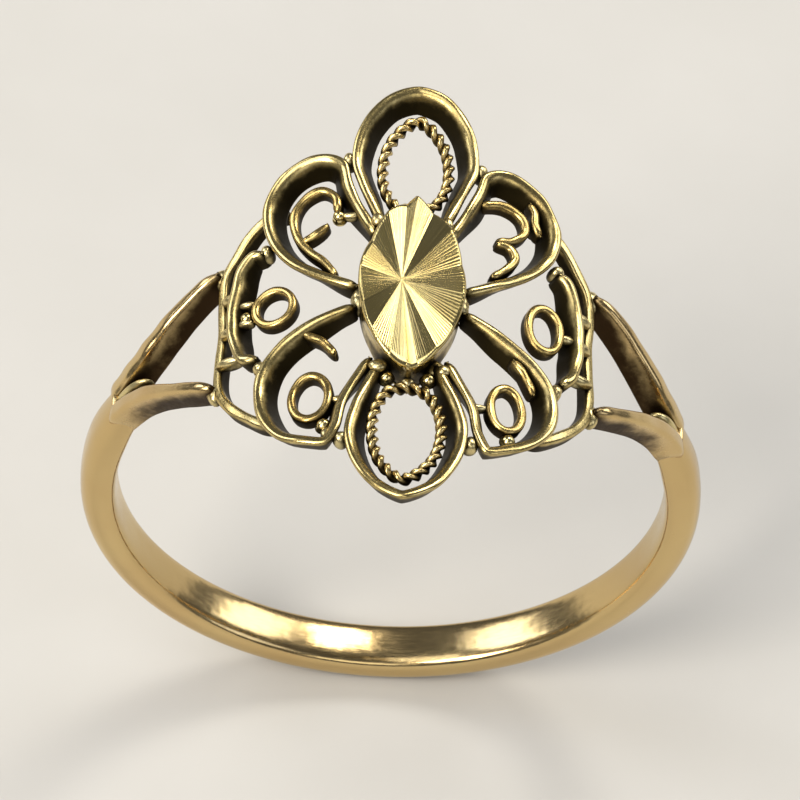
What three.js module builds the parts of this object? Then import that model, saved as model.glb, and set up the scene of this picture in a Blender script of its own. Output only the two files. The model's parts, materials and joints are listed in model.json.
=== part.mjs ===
// A filigree ring in yellow gold: a forked shank, and a flower of eight strip petals around a raised,
// bright-cut marquise plate. Millimetres. The origin is the centre of the finger bore, +Y runs along the
// finger, +Z goes up through the head and +X to the right of someone who looks along +Y.

import * as THREE from 'three';

// Band
const boreRadius = 8.25;
const shankThickness = 1.1;
const shankWidth = 1.6;
const shoulderWidth = 1.4;
const forkAngle = THREE.MathUtils.degToRad( 66 );
const taperLength = THREE.MathUtils.degToRad( 34 );
const edgeRound = 0.18;

// Fork arms
const armHeight = 0.95;
const armRootThickness = 0.58;
const armTipThickness = 0.34;
const backArmSpread = 2.25;
const frontArmSpread = 1.9;
const armFloor = 0.1;

// Head: everything on it is bent over one cylinder around the finger
const headStandoff = 1.5;
const headHalfLength = 7.5;
const headHalfWidth = 5.5;
const petalHeight = 0.7;
const petalThickness = 0.32;
const petalLean = 0.3;
const leanRamp = 1.6;
const tipLift = 0.46;
const solderGap = 0.05;

// Rails and hub under the petals
const railHeight = 0.5;
const railThickness = 0.34;
const railOutset = 0.7;
const hubHeight = 0.25;

// Filigree inside the petals
const ropeThickness = 0.36;
const wireThickness = 0.24;
const wireHeight = 0.45;
const wireDrop = 0.08;
const granuleRadius = 0.2;

// Centre plate and its collet
const plateHalfLength = 3.1;
const plateHalfWidth = 1.54;
const plateThickness = 0.34;
const plateRise = 0.75;
const plateOverhang = 0.09;
const plateBluntness = 1.4;
const colletWall = 0.3;
const grooveCount = 8;
const grooveDepth = 0.16;
const apexShift = 0.3;

// The flower's outlines are drawn for a head and plate of these half sizes, and stretch to the real ones
const drawnHead = { halfWidth: 5.5, halfLength: 7.5 };
const drawnPlate = { halfWidth: 1.54, halfLength: 3.1 };

// Colours and finishes
const shankGold = { color: 0xc9a24e, roughness: 0.28, metalness: 1 };
const petalGold = { color: 0xc6a653, roughness: 0.34, metalness: 1 };
const wireGold = { color: 0xb8923e, roughness: 0.4, metalness: 1 };
const plateGold = { color: 0xddc377, roughness: 0.18, metalness: 1 };

const headRadius = boreRadius + headStandoff;
const ring = new THREE.Group();

function addPiece( name, geometry, finish ) {

	const piece = new THREE.Mesh( geometry, new THREE.MeshStandardMaterial( finish ) );
	piece.name = name;
	ring.add( piece );
	return piece;

}

// The head's surface rises a little towards the two pointed ends.

function liftAt( y ) {

	return tipLift * ( y / headHalfLength ) ** 2;

}

// Stretches a drawn distance so that the plate's edge and the head's edge keep their places.

function stretched( drawn, drawnInner, inner, drawnOuter, outer ) {

	const size = Math.abs( drawn );
	const near = Math.min( size, drawnInner ) * inner / drawnInner;
	const far = Math.max( size - drawnInner, 0 ) * ( outer - inner ) / ( drawnOuter - drawnInner );
	return Math.sign( drawn ) * ( near + far );

}

function fitted( [ s, y ] ) {

	return [
		stretched( s, drawnPlate.halfWidth, plateHalfWidth, drawnHead.halfWidth, headHalfWidth ),
		stretched( y, drawnPlate.halfLength, plateHalfLength, drawnHead.halfLength, headHalfLength ),
	];

}

// Moves a point drawn on the flattened head (s across, y along the finger) to its place on the ring.

function onHead( s, y, radius ) {

	const angle = s / headRadius;
	const raised = radius + liftAt( y );
	return new THREE.Vector3( raised * Math.sin( angle ), y, raised * Math.cos( angle ) );

}

// Bends a flat extrusion over the finger: its depth becomes the distance from the bore's axis.

function bendOverFinger( geometry, floorRadius ) {

	const position = geometry.attributes.position;

	for ( let i = 0; i < position.count; i ++ ) {

		const place = onHead( position.getX( i ), position.getY( i ), floorRadius + position.getZ( i ) );
		position.setXYZ( i, place.x, place.y, place.z );

	}

	geometry.computeVertexNormals();
	return geometry;

}

// A strip stands on edge beside a line. Its sides are offset from the line to the left by the distances
// nearSide and farSide, which may change evenly from the first end to the last. An open strip may be
// shifted further left, by nothing at its ends and by the whole of shift from leanRamp inwards.

function stripShape( points, { closed = false, nearSide, farSide, shift = 0, steps } ) {

	const line = new THREE.CatmullRomCurve3(
		points.map( ( [ s, y ] ) => new THREE.Vector3( s, y, 0 ) ), closed, 'centripetal' );
	const near = [];
	const far = [];
	const count = closed ? steps - 1 : steps;
	const length = line.getLength();

	for ( let i = 0; i <= count; i ++ ) {

		const share = i / steps;
		const place = line.getPointAt( share );
		const along = line.getTangentAt( share );
		const fromEnd = length * Math.min( share, 1 - share );
		const shifted = shift * THREE.MathUtils.smoothstep( fromEnd, 0, leanRamp );
		const nearOffset = THREE.MathUtils.lerp( nearSide[ 0 ], nearSide[ 1 ], share ) + shifted;
		const farOffset = THREE.MathUtils.lerp( farSide[ 0 ], farSide[ 1 ], share ) + shifted;
		near.push( new THREE.Vector2( place.x - along.y * nearOffset, place.y + along.x * nearOffset ) );
		far.push( new THREE.Vector2( place.x - along.y * farOffset, place.y + along.x * farOffset ) );

	}

	if ( ! closed ) return new THREE.Shape( [ ...near, ...far.reverse() ] );

	const nearIsOuter = Math.abs( THREE.ShapeUtils.area( near ) ) > Math.abs( THREE.ShapeUtils.area( far ) );
	const shape = new THREE.Shape( nearIsOuter ? near : far );
	shape.holes.push( new THREE.Path( ( nearIsOuter ? far : near ).reverse() ) );
	return shape;

}

function addStrip( name, shape, finish, floorRadius, height ) {

	const geometry = new THREE.ExtrudeGeometry( shape, { depth: height, bevelEnabled: false } );
	return addPiece( name, bendOverFinger( geometry, floorRadius ), finish );

}

// A strip that leans: its foot has an outline of its own, with as many points as the one at its top.

function addLeaningStrip( name, topShape, footShape, finish, floorRadius, height ) {

	const geometry = new THREE.ExtrudeGeometry( topShape, { depth: height, bevelEnabled: false } );
	const position = geometry.attributes.position;
	const topPoints = topShape.getPoints();
	const footPoints = footShape.getPoints();

	for ( let i = 0; i < position.count; i ++ ) {

		if ( position.getZ( i ) > 0 ) continue;
		const gaps = topPoints.map( ( { x, y } ) => Math.hypot( x - position.getX( i ), y - position.getY( i ) ) );
		const foot = footPoints[ gaps.indexOf( Math.min( ...gaps ) ) ];
		position.setXY( i, foot.x, foot.y );

	}

	return addPiece( name, bendOverFinger( geometry, floorRadius ), finish );

}

// Wire and strip of one thickness, centred on its line.

function centredStrip( points, thickness, steps, closed = false ) {

	const half = thickness / 2;
	return stripShape( points, { closed, nearSide: [ - half, - half ], farSide: [ half, half ], steps } );

}

// A pointed oval of two equal arcs, as its distance from the centre in a given direction.

function marquiseReach( angle, halfLength, halfWidth ) {

	const arcRadius = ( halfLength ** 2 + halfWidth ** 2 ) / ( 2 * halfWidth );
	const centreOffset = arcRadius - halfWidth;
	return Math.sqrt( arcRadius ** 2 - ( centreOffset * Math.sin( angle ) ) ** 2 )
		- centreOffset * Math.abs( Math.cos( angle ) );

}

function marquisePoints( halfLength, halfWidth, count ) {

	return Array.from( { length: count }, ( _, i ) => {

		const angle = 2 * Math.PI * i / count;
		const reach = marquiseReach( angle, halfLength, halfWidth );
		return new THREE.Vector2( reach * Math.cos( angle ), reach * Math.sin( angle ) );

	} );

}

// Shank: the band from one fork, round below the finger, to the other. Its sides are flat and parallel
// below, and draw in towards the forks.

const outerRadius = boreRadius + shankThickness;
const shankSection = new THREE.Shape();
const shankStart = Math.PI / 2 - forkAngle;
const shankEnd = Math.PI / 2 + forkAngle;
const shankInner = boreRadius + edgeRound;
const shankOuter = outerRadius - edgeRound;
const endTrim = edgeRound / headRadius;
shankSection.absarc( 0, 0, shankOuter, shankStart - endTrim, shankEnd + endTrim - 2 * Math.PI, true );
shankSection.absarc( 0, 0, shankInner, shankEnd + endTrim - 2 * Math.PI, shankStart - endTrim, false );
const shankGeometry = new THREE.ExtrudeGeometry( shankSection, {
	depth: shankWidth - 2 * edgeRound,
	curveSegments: 44,
	bevelThickness: edgeRound,
	bevelSize: edgeRound,
	bevelSegments: 2,
} );
shankGeometry.translate( 0, 0, edgeRound - shankWidth / 2 );
shankGeometry.rotateX( Math.PI / 2 );
const shankPosition = shankGeometry.attributes.position;

for ( let i = 0; i < shankPosition.count; i ++ ) {

	const x = shankPosition.getX( i );
	const z = shankPosition.getZ( i );
	const fromTop = Math.abs( Math.atan2( x, z ) );
	const taper = THREE.MathUtils.clamp( ( forkAngle + taperLength - fromTop ) / taperLength, 0, 1 );
	const width = THREE.MathUtils.lerp( shankWidth, shoulderWidth, taper ** 2 );
	shankPosition.setY( i, shankPosition.getY( i ) * width / shankWidth );

}

shankGeometry.computeVertexNormals();
addPiece( 'shank', shankGeometry, shankGold );

// Fork arms: four strips that leave the band's ends side by side and spread to the head's corners.

const railReach = headHalfWidth + railOutset;
const armStart = forkAngle * headRadius - solderGap;
const armEnd = railReach + railThickness / 2 + solderGap;
const armRootOffset = ( armRootThickness + 3 * solderGap ) / 2;
const armHalf = [ armRootThickness / 2, armTipThickness / 2 ];

for ( const [ side, sign ] of [ [ 'left', - 1 ], [ 'right', 1 ] ] ) {

	for ( const [ end, way, spread ] of [ [ 'back', 1, backArmSpread ], [ 'front', - 1, frontArmSpread ] ] ) {

		const run = armStart - armEnd;
		const rise = spread - armRootOffset;
		const points = [
			[ sign * armStart, way * armRootOffset ],
			[ sign * ( armStart - 0.35 * run ), way * ( armRootOffset + 0.24 * rise ) ],
			[ sign * ( armStart - 0.75 * run ), way * ( armRootOffset + 0.72 * rise ) ],
			[ sign * armEnd, way * spread ],
		];
		const shape = stripShape( points, {
			nearSide: armHalf.map( ( half ) => - half ),
			farSide: armHalf,
			steps: 10,
		} );
		addStrip( `arm_${ end }_${ side }`, shape, shankGold, boreRadius + armFloor, armHeight );

	}

}

// Rails: one strip along each side of the head, under the petals. Its ends carry the diagonal petals, and
// the arms end on its outer face.

const petalFloor = headRadius - petalHeight;
const railFloor = petalFloor - solderGap - railHeight;

for ( const [ side, sign ] of [ [ 'left', - 1 ], [ 'right', 1 ] ] ) {

	const points = [
		[ sign * ( railReach - 2.25 ), backArmSpread + 1.6 ],
		[ sign * ( railReach - 1.75 ), backArmSpread + 1.65 ],
		[ sign * ( railReach - 1.2 ), backArmSpread + 1.4 ],
		[ sign * ( railReach - 0.55 ), backArmSpread + 0.7 ],
		[ sign * railReach, backArmSpread - 0.15 ],
		[ sign * railReach, 0.15 ],
		[ sign * railReach, - frontArmSpread ],
		[ sign * ( railReach - 0.45 ), - frontArmSpread - 0.75 ],
		[ sign * ( railReach - 1.2 ), - frontArmSpread - 1.4 ],
		[ sign * ( railReach - 1.75 ), - frontArmSpread - 1.75 ],
		[ sign * ( railReach - 2.25 ), - frontArmSpread - 1.9 ],
	];
	addStrip( `rail_${ side }`, centredStrip( points, railThickness, 24 ), petalGold, railFloor, railHeight );

}

// Petal frames: strips of equal height that stand on edge, each just inside its outline. Their walls lean
// out like a cup's, so that the foot is drawn in under the petal. Neighbours share a seam, drawn from the
// plate outwards. The two end petals are pointed, the four diagonal ones are round and run back to the
// plate as spokes, and the two side ones are shallow arcs between their neighbours.

const seams = {
	back_left: [ [ - 0.93, 2.3 ], [ - 1.26, 2.97 ], [ - 1.7, 4.0 ], [ - 1.92, 4.85 ] ],
	back_right: [ [ 0.93, 2.3 ], [ 1.26, 2.97 ], [ 1.7, 4.0 ], [ 1.93, 4.7 ] ],
	front_left: [ [ - 0.93, - 2.3 ], [ - 1.25, - 2.95 ], [ - 1.63, - 3.88 ], [ - 1.8, - 4.8 ] ],
	front_right: [ [ 0.93, - 2.3 ], [ 1.25, - 2.95 ], [ 1.63, - 3.8 ], [ 1.79, - 4.7 ] ],
};
const backTip = [
	[ - 1.67, 6.12 ], [ - 0.97, 7.12 ], [ - 0.16, 7.5 ], [ 0.25, 7.49 ], [ 1.06, 7.1 ], [ 1.7, 6.12 ],
];
const frontTip = [
	[ - 1.6, - 5.86 ], [ - 0.99, - 6.89 ], [ - 0.18, - 7.4 ], [ 0.13, - 7.38 ], [ 0.92, - 6.88 ],
	[ 1.54, - 5.87 ],
];
const petalOutlines = {
	petal_back: [ ...seams.back_left, ...backTip, ...seams.back_right.toReversed() ],
	petal_front: [ ...seams.front_left, ...frontTip, ...seams.front_right.toReversed() ],
	petal_back_left: [
		...seams.back_left, [ - 2.45, 5.2 ], [ - 3.22, 5.16 ], [ - 4.08, 4.62 ], [ - 4.55, 3.6 ],
		[ - 4.36, 2.32 ], [ - 3.7, 1.33 ], [ - 2.77, 0.69 ], [ - 1.62, 0.2 ],
	],
	petal_back_right: [
		...seams.back_right, [ 2.43, 5.0 ], [ 3.1, 4.93 ], [ 3.98, 4.44 ], [ 4.51, 3.55 ],
		[ 4.54, 2.7 ], [ 4.17, 1.88 ], [ 3.4, 1.12 ], [ 2.47, 0.59 ], [ 1.62, 0.2 ],
	],
	petal_front_left: [
		...seams.front_left, [ - 2.16, - 5.38 ], [ - 2.9, - 5.31 ], [ - 3.7, - 4.96 ], [ - 4.32, - 4.07 ],
		[ - 4.54, - 3.0 ], [ - 4.37, - 2.11 ], [ - 3.87, - 1.38 ], [ - 3.09, - 0.78 ], [ - 2.26, - 0.4 ],
		[ - 1.62, - 0.19 ],
	],
	petal_front_right: [
		...seams.front_right, [ 2.2, - 5.4 ], [ 3.07, - 5.14 ], [ 3.84, - 4.62 ], [ 4.37, - 3.88 ],
		[ 4.54, - 3.05 ], [ 4.39, - 2.31 ], [ 3.94, - 1.66 ], [ 3.2, - 1.08 ], [ 2.37, - 0.59 ],
		[ 1.62, - 0.23 ],
	],
	petal_left: [
		[ - 4.42, 2.17 ], [ - 4.86, 2.18 ], [ - 5.3, 1.7 ], [ - 5.52, 0.84 ], [ - 5.6, - 0.1 ],
		[ - 5.46, - 1.06 ], [ - 5.08, - 1.79 ], [ - 4.48, - 1.97 ],
	],
	petal_right: [
		[ 4.6, 2.08 ], [ 4.98, 1.8 ], [ 5.32, 1.05 ], [ 5.46, 0.16 ], [ 5.44, - 0.79 ],
		[ 5.17, - 1.68 ], [ 4.72, - 2.17 ],
	],
};

for ( const [ name, points ] of Object.entries( petalOutlines ) ) {

	const runsClockwise = THREE.ShapeUtils.area( points.map( ( [ s, y ] ) => new THREE.Vector2( s, y ) ) ) < 0;
	const inward = runsClockwise ? - 1 : 1;
	const outerOffset = inward * solderGap / 2;
	const innerOffset = inward * ( solderGap / 2 + petalThickness );
	const [ topShape, footShape ] = [ 0, inward * petalLean ].map( ( shift ) =>
		stripShape( points.map( fitted ), {
			nearSide: [ outerOffset, outerOffset ],
			farSide: [ innerOffset, innerOffset ],
			shift,
			steps: 3 * points.length,
		} ) );
	addLeaningStrip( name, topShape, footShape, petalGold, petalFloor, petalHeight );

}

// Rope loops: a twisted wire bent to a pointed oval inside each end petal.

const ropeLoops = {
	rope_loop_back: [
		[ 0.06, 6.35 ], [ 0.76, 5.65 ], [ 1.0, 4.75 ], [ 0.9, 3.9 ], [ 0.54, 3.34 ], [ 0, 3.2 ],
		[ - 0.52, 3.34 ], [ - 0.86, 3.9 ], [ - 0.94, 4.75 ], [ - 0.69, 5.65 ],
	],
	rope_loop_front: [
		[ - 0.06, - 6.5 ], [ - 0.71, - 5.85 ], [ - 0.96, - 4.8 ], [ - 0.88, - 3.95 ], [ - 0.55, - 3.34 ],
		[ 0, - 3.18 ], [ 0.55, - 3.34 ], [ 0.9, - 3.95 ], [ 1.0, - 4.8 ], [ 0.7, - 5.85 ],
	],
};
const wireFloor = headRadius - wireDrop - wireHeight;

for ( const [ name, points ] of Object.entries( ropeLoops ) ) {

	const shape = centredStrip( points.map( fitted ), ropeThickness, 28, true );
	addStrip( name, shape, wireGold, wireFloor, wireHeight );

}

// Curls, tails and tendrils: thin flat wire inside the diagonal petals.

const openWires = {
	curl_back_left: [
		[ - 2.26, 3.34 ], [ - 2.32, 3.7 ], [ - 2.7, 3.94 ], [ - 3.2, 3.74 ], [ - 3.54, 3.15 ],
		[ - 3.42, 2.4 ], [ - 3.02, 1.8 ], [ - 2.64, 1.44 ], [ - 2.4, 0.85 + petalThickness ],
	],
	curl_back_right: [
		[ 2.3, 3.74 ], [ 2.75, 3.78 ], [ 3.26, 3.5 ], [ 3.38, 3.05 ], [ 3.05, 2.68 ], [ 2.45, 2.62 ],
	],
	tail_back_right: [
		[ 2.58, 2.34 ], [ 2.92, 2.32 ], [ 3.06, 2.02 ], [ 2.88, 1.7 ], [ 2.46, 1.34 ],
	],
	tendril_back_left: [ [ - 3.14, 2.28 ], [ - 2.82, 2.42 ], [ - 2.5, 2.72 ] ],
	tendril_back_right: [ [ 3.48, 4.0 ], [ 3.62, 3.8 ], [ 3.65, 3.52 ] ],
	tendril_front_left: [ [ - 3.0, - 1.08 - petalThickness ], [ - 2.5, - 1.56 ], [ - 2.1, - 2.0 ] ],
	tendril_front_right: [ [ 3.16, - 1.84 ], [ 3.5, - 2.2 ], [ 3.7, - 2.68 ] ],
};

for ( const [ name, points ] of Object.entries( openWires ) ) {

	const shape = centredStrip( points.map( fitted ), wireThickness, 3 * points.length );
	addStrip( name, shape, wireGold, wireFloor, wireHeight );

}

// Rings: small ovals of the same wire inside the side petals and the front diagonal ones.

const rings = {
	ring_left: { centre: [ - 4.05, 0 ], halfAcross: 0.58, halfAlong: 0.6 },
	ring_right: { centre: [ 4.1, - 0.2 ], halfAcross: 0.52, halfAlong: 0.76 },
	ring_front_left: { centre: [ - 2.46 - petalThickness, - 3.5 ], halfAcross: 0.54, halfAlong: 0.78 },
	ring_front_right: { centre: [ 2.88, - 3.5 ], halfAcross: 0.48, halfAlong: 0.76 },
};
const ringCorners = 8;

for ( const [ name, { centre, halfAcross, halfAlong } ] of Object.entries( rings ) ) {

	const points = Array.from( { length: ringCorners }, ( _, i ) => {

		const angle = 2 * Math.PI * i / ringCorners;
		return fitted( [
			centre[ 0 ] + halfAcross * Math.sin( angle ),
			centre[ 1 ] + halfAlong * Math.cos( angle ),
		] );

	} );
	addStrip( name, centredStrip( points, wireThickness, 20, true ), wireGold, wireFloor, wireHeight );

}

// Granules: small balls of gold that bridge a wire and its neighbour.

const granules = {
	granule_back_left: [ - 2.2, 3.0 ],
	granule_left: [ - 4.97, - 0.12 ],
	granule_front_left: [ - 2.34, - 4.5 ],
	granule_front_right: [ 2.95, petalThickness - 4.89 ],
	granule_foot_back_left: [ - 0.62, 2.88 ],
	granule_foot_back_right: [ 0.62, 2.88 ],
	granule_foot_front_left: [ - 0.6, - 2.84 ],
	granule_foot_front_right: [ 0.6, - 2.84 ],
};

for ( const [ name, place ] of Object.entries( granules ) ) {

	const granule = addPiece( name, new THREE.IcosahedronGeometry( granuleRadius, 1 ), wireGold );
	granule.position.copy( onHead( ...fitted( place ), headRadius - wireDrop - granuleRadius ) );

}

// Hub: a marquise disc that closes the collet below.

const colletHalfWidth = plateHalfWidth - plateOverhang;
const colletHalfLength = plateHalfLength - 2 * plateOverhang;
const hubShape = new THREE.Shape( marquisePoints( colletHalfLength, colletHalfWidth, 24 ) );
const hubGeometry = new THREE.ExtrudeGeometry( hubShape, { depth: hubHeight, bevelEnabled: false } );
addPiece( 'hub_plate', bendOverFinger( hubGeometry, petalFloor - solderGap - hubHeight ), petalGold );

// Collet: the upright wall that carries the centre plate above the petals.

const plateTop = headRadius + plateRise;
const plateFloor = plateTop - plateThickness;
const colletShape = new THREE.Shape( marquisePoints( colletHalfLength, colletHalfWidth, 32 ) );
colletShape.holes.push( new THREE.Path(
	marquisePoints( colletHalfLength - 2 * colletWall, colletHalfWidth - colletWall, 32 ).reverse() ) );
const colletGeometry = new THREE.ExtrudeGeometry( colletShape, {
	depth: plateFloor - solderGap - petalFloor,
	bevelEnabled: false,
} );
const collet = addPiece( 'collet', colletGeometry, petalGold );
collet.position.z = petalFloor;

// Centre plate: a blunt marquise blank with eight V grooves cut from its rim to one point beside the
// centre, so that its face is sixteen flat facets. The ridges are turned a step clockwise from the long
// axis, and the rim is divided by the angle that also draws it.

const stepsPerGroove = 6;
const rimSteps = grooveCount * stepsPerGroove;
const ridgeTurn = 1;
const blankProfile = [
	new THREE.Vector2( 0, 0 ),
	new THREE.Vector2( 1, 0 ),
	new THREE.Vector2( 1, plateThickness ),
	new THREE.Vector2( 0, plateThickness - grooveDepth / 2 ),
];
const plateGeometry = new THREE.LatheGeometry( blankProfile, rimSteps );
plateGeometry.rotateX( Math.PI / 2 );
const platePosition = plateGeometry.attributes.position;

for ( let i = 0; i < platePosition.count; i ++ ) {

	const x = platePosition.getX( i );
	const y = platePosition.getY( i );
	const onFace = platePosition.getZ( i ) > plateThickness / 2;
	const onRim = Math.hypot( x, y ) > 0.5;
	const rimStep = Math.round( Math.atan2( y, x ) * rimSteps / ( 2 * Math.PI ) ) + ridgeTurn;
	const fromRidge = THREE.MathUtils.pingpong( rimStep + rimSteps, stepsPerGroove / 2 );
	const cut = grooveDepth * fromRidge / ( stepsPerGroove / 2 );
	const shift = onFace && ! onRim ? apexShift : 0;
	platePosition.setX( i, plateHalfWidth * Math.sign( x ) * Math.abs( x ) ** plateBluntness - shift );
	platePosition.setY( i, plateHalfLength * y );
	if ( onFace && onRim ) platePosition.setZ( i, plateThickness - cut );

}

const plate = addPiece( 'centre_plate', plateGeometry, plateGold );
plate.position.z = plateFloor;

export default ring;
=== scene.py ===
"""A filigree ring in yellow gold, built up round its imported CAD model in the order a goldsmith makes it."""

import json
import math
import zlib

import bpy
import numpy as np
from mathutils import Matrix, Vector


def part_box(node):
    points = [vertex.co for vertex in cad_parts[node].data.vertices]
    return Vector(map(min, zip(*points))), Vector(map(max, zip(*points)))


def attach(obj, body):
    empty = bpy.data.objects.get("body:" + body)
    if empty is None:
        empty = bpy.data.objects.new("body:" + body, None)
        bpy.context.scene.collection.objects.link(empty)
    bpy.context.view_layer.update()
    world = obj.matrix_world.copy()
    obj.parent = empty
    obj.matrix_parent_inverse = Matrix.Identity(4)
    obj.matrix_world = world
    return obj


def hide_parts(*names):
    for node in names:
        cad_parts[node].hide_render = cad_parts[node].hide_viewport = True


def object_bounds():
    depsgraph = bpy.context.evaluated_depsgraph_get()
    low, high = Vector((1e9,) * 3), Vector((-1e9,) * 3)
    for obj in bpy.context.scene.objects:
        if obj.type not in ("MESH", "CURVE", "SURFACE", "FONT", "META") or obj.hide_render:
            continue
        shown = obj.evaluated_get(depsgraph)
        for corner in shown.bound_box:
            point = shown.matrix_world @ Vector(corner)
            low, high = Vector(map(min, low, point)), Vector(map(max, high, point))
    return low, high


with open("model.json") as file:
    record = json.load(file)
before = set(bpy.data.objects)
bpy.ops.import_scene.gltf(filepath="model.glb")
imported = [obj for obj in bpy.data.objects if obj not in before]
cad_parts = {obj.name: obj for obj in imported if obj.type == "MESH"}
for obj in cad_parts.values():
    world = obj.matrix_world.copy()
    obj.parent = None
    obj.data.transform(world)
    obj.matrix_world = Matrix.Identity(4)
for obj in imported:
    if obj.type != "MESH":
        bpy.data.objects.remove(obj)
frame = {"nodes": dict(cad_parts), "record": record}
cad_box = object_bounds()

# Shank. A bar of 14 carat yellow gold, rolled to a soft D section, bent round the finger and polished.
# It is 1.6 mm wide below, draws in towards the forks, and has worn flat inside against the skin.

MM = 0.001
SHOULDER_WIDTH = 1.4
FORK_ANGLE = math.radians(66)
TAPER_LENGTH = math.radians(34)
SHANK_DOME = 0.1
SHANK_STATIONS = 240
SECTION_POINTS = 44
SIDE_SQUARENESS = 3.6
OUTSIDE_SQUARENESS = 3.0
INSIDE_SQUARENESS = 5.5
END_LAP = 0.02
NOSE_LENGTH = 1.6
NOSE_SHARE = 0.86
OUTSIDE_RUBBED = 1.0
INSIDE_RUBBED = 0.5
SHANK_CLEAN = "#dcc48c"
SHANK_WARM = "#c5a572"
SHANK_DULL = "#372817"
WEAR_SCRATCH = 0.05
SCRATCH_DEPTH = 0.006
HAMMER_WAVE = 0.5
HAMMER_DEPTH = 0.03
# How far the painted shade in corners reaches, in mm.
CORNER_SHADE_REACH = 0.7
DULL_BELOW = 1.8
BRIGHT_ABOVE = 2.5
TINT_PATCHES = 2.5

bore_mount = next(m for m in frame["record"]["mounts"] if m["name"] == "finger_bore")
BORE_RADIUS = bore_mount["dims"]["r_mm"]
shank_low, shank_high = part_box("shank")
SHANK_OUTER = -shank_low.z / MM
SHANK_WIDTH = (shank_high.y - shank_low.y) / MM


def to_linear(hex_colour):
    """An sRGB hex value as linear red, green, blue and full alpha."""
    parts = [int(hex_colour[i:i + 2], 16) / 255 for i in (1, 3, 5)]
    linear = [c / 12.92 if c <= 0.04045 else ((c + 0.055) / 1.055) ** 2.4 for c in parts]
    return (*linear, 1.0)


def add_node(tree, kind, settings, inputs):
    """Adds a node. settings are its own properties; inputs are values, or the sockets that feed it."""
    node = tree.nodes.new(kind)
    for name, value in settings.items():
        setattr(node, name, value)
    for name, value in inputs.items():
        if isinstance(value, bpy.types.NodeSocket):
            tree.links.new(value, node.inputs[name])
        else:
            node.inputs[name].default_value = value
    return node


def per_metre(size_mm):
    """The scale of a texture, in object space in metres, whose features are size_mm across."""
    return 1 / (size_mm * MM)


def worn_gold(name, clean, warm, dull, patch, scratch, stretch, smooth, rough, bare):
    """Gold that is bright on its tops, from wear and a painted highlight, and brown below and in its corners,
    from dirt and tarnish stains and painted shade.

    patch and scratch are the sizes in mm of the stains and of the fine scratches. smooth and rough are the
    roughness of the bright gold and of the dull skin. bare moves the border between the two: 0 leaves most
    of it dark and 1 leaves most of it bright.
    """
    made = bpy.data.materials.new(name)
    made.use_nodes = True
    tree = made.node_tree
    tree.nodes.clear()
    place = add_node(tree, "ShaderNodeTexCoord", {}, {}).outputs["Object"]
    rubbed_and_lit = add_node(tree, "ShaderNodeAttribute", {"attribute_name": "rubbed_and_lit"}, {}).outputs["Fac"]
    blotches = add_node(tree, "ShaderNodeTexNoise", {}, {
        "Vector": place, "Scale": per_metre(patch), "Detail": 5.0, "Roughness": 0.65})
    # Painted shade: ambient occlusion darkens the colour in corners and hollows, where shade falls.
    corners = add_node(tree, "ShaderNodeAmbientOcclusion", {"samples": 6}, {"Distance": CORNER_SHADE_REACH * MM})
    rubbed_and_unshaded = add_node(tree, "ShaderNodeMath", {"operation": "ADD"}, {
        0: rubbed_and_lit, 1: corners.outputs["AO"]})
    mottled = add_node(tree, "ShaderNodeMath", {"operation": "ADD"}, {
        0: blotches.outputs["Fac"], 1: rubbed_and_unshaded.outputs[0]})
    brightness = add_node(tree, "ShaderNodeMapRange", {"interpolation_type": "SMOOTHSTEP"}, {
        "Value": mottled.outputs[0], "From Min": DULL_BELOW - bare, "From Max": BRIGHT_ABOVE - bare})
    bright_share = brightness.outputs["Result"]
    tints = add_node(tree, "ShaderNodeTexNoise", {}, {
        "Vector": place, "Scale": per_metre(TINT_PATCHES * patch), "Detail": 2.0})
    alloy = add_node(tree, "ShaderNodeMixRGB", {}, {
        "Fac": tints.outputs["Fac"], "Color1": to_linear(clean), "Color2": to_linear(warm)})
    colour = add_node(tree, "ShaderNodeMixRGB", {}, {
        "Fac": bright_share, "Color1": to_linear(dull), "Color2": alloy.outputs["Color"]})
    along = add_node(tree, "ShaderNodeMapping", {}, {"Vector": place, "Scale": stretch})
    scratches = add_node(tree, "ShaderNodeTexNoise", {}, {
        "Vector": along.outputs["Vector"], "Scale": per_metre(scratch), "Detail": 3.0, "Roughness": 0.7})
    wear = add_node(tree, "ShaderNodeMapRange", {}, {
        "Value": scratches.outputs["Fac"], "From Min": 0.35, "From Max": 0.75, "To Max": 0.12})
    polish = add_node(tree, "ShaderNodeMapRange", {}, {
        "Value": bright_share, "To Min": rough, "To Max": smooth})
    roughness = add_node(tree, "ShaderNodeMath", {"operation": "ADD"}, {
        0: polish.outputs["Result"], 1: wear.outputs["Result"]})
    planished = add_node(tree, "ShaderNodeTexNoise", {}, {
        "Vector": place, "Scale": per_metre(HAMMER_WAVE), "Detail": 1.0})
    waves = add_node(tree, "ShaderNodeBump", {}, {
        "Height": planished.outputs["Fac"], "Strength": 0.35, "Distance": HAMMER_DEPTH * MM})
    marks = add_node(tree, "ShaderNodeBump", {}, {
        "Height": scratches.outputs["Fac"], "Strength": 0.3, "Distance": SCRATCH_DEPTH * MM,
        "Normal": waves.outputs["Normal"]})
    metal = add_node(tree, "ShaderNodeBsdfPrincipled", {}, {
        "Base Color": colour.outputs["Color"], "Metallic": 1.0,
        "Roughness": roughness.outputs[0], "Normal": marks.outputs["Normal"]})
    add_node(tree, "ShaderNodeOutputMaterial", {}, {"Surface": metal.outputs["BSDF"]})
    return made


def skin(rings, closed):
    """Faces over a run of equal rings of points; an open run is capped at both ends."""
    count, size = len(rings), len(rings[0])
    steps = count if closed else count - 1
    faces = []
    for i in range(steps):
        here, there = i * size, (i + 1) % count * size
        for j in range(size):
            k = (j + 1) % size
            faces.append((here + j, here + k, there + k, there + j))
    if not closed:
        faces.append(tuple(range(size))[::-1])
        faces.append(tuple((count - 1) * size + j for j in range(size)))
    return faces


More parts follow.
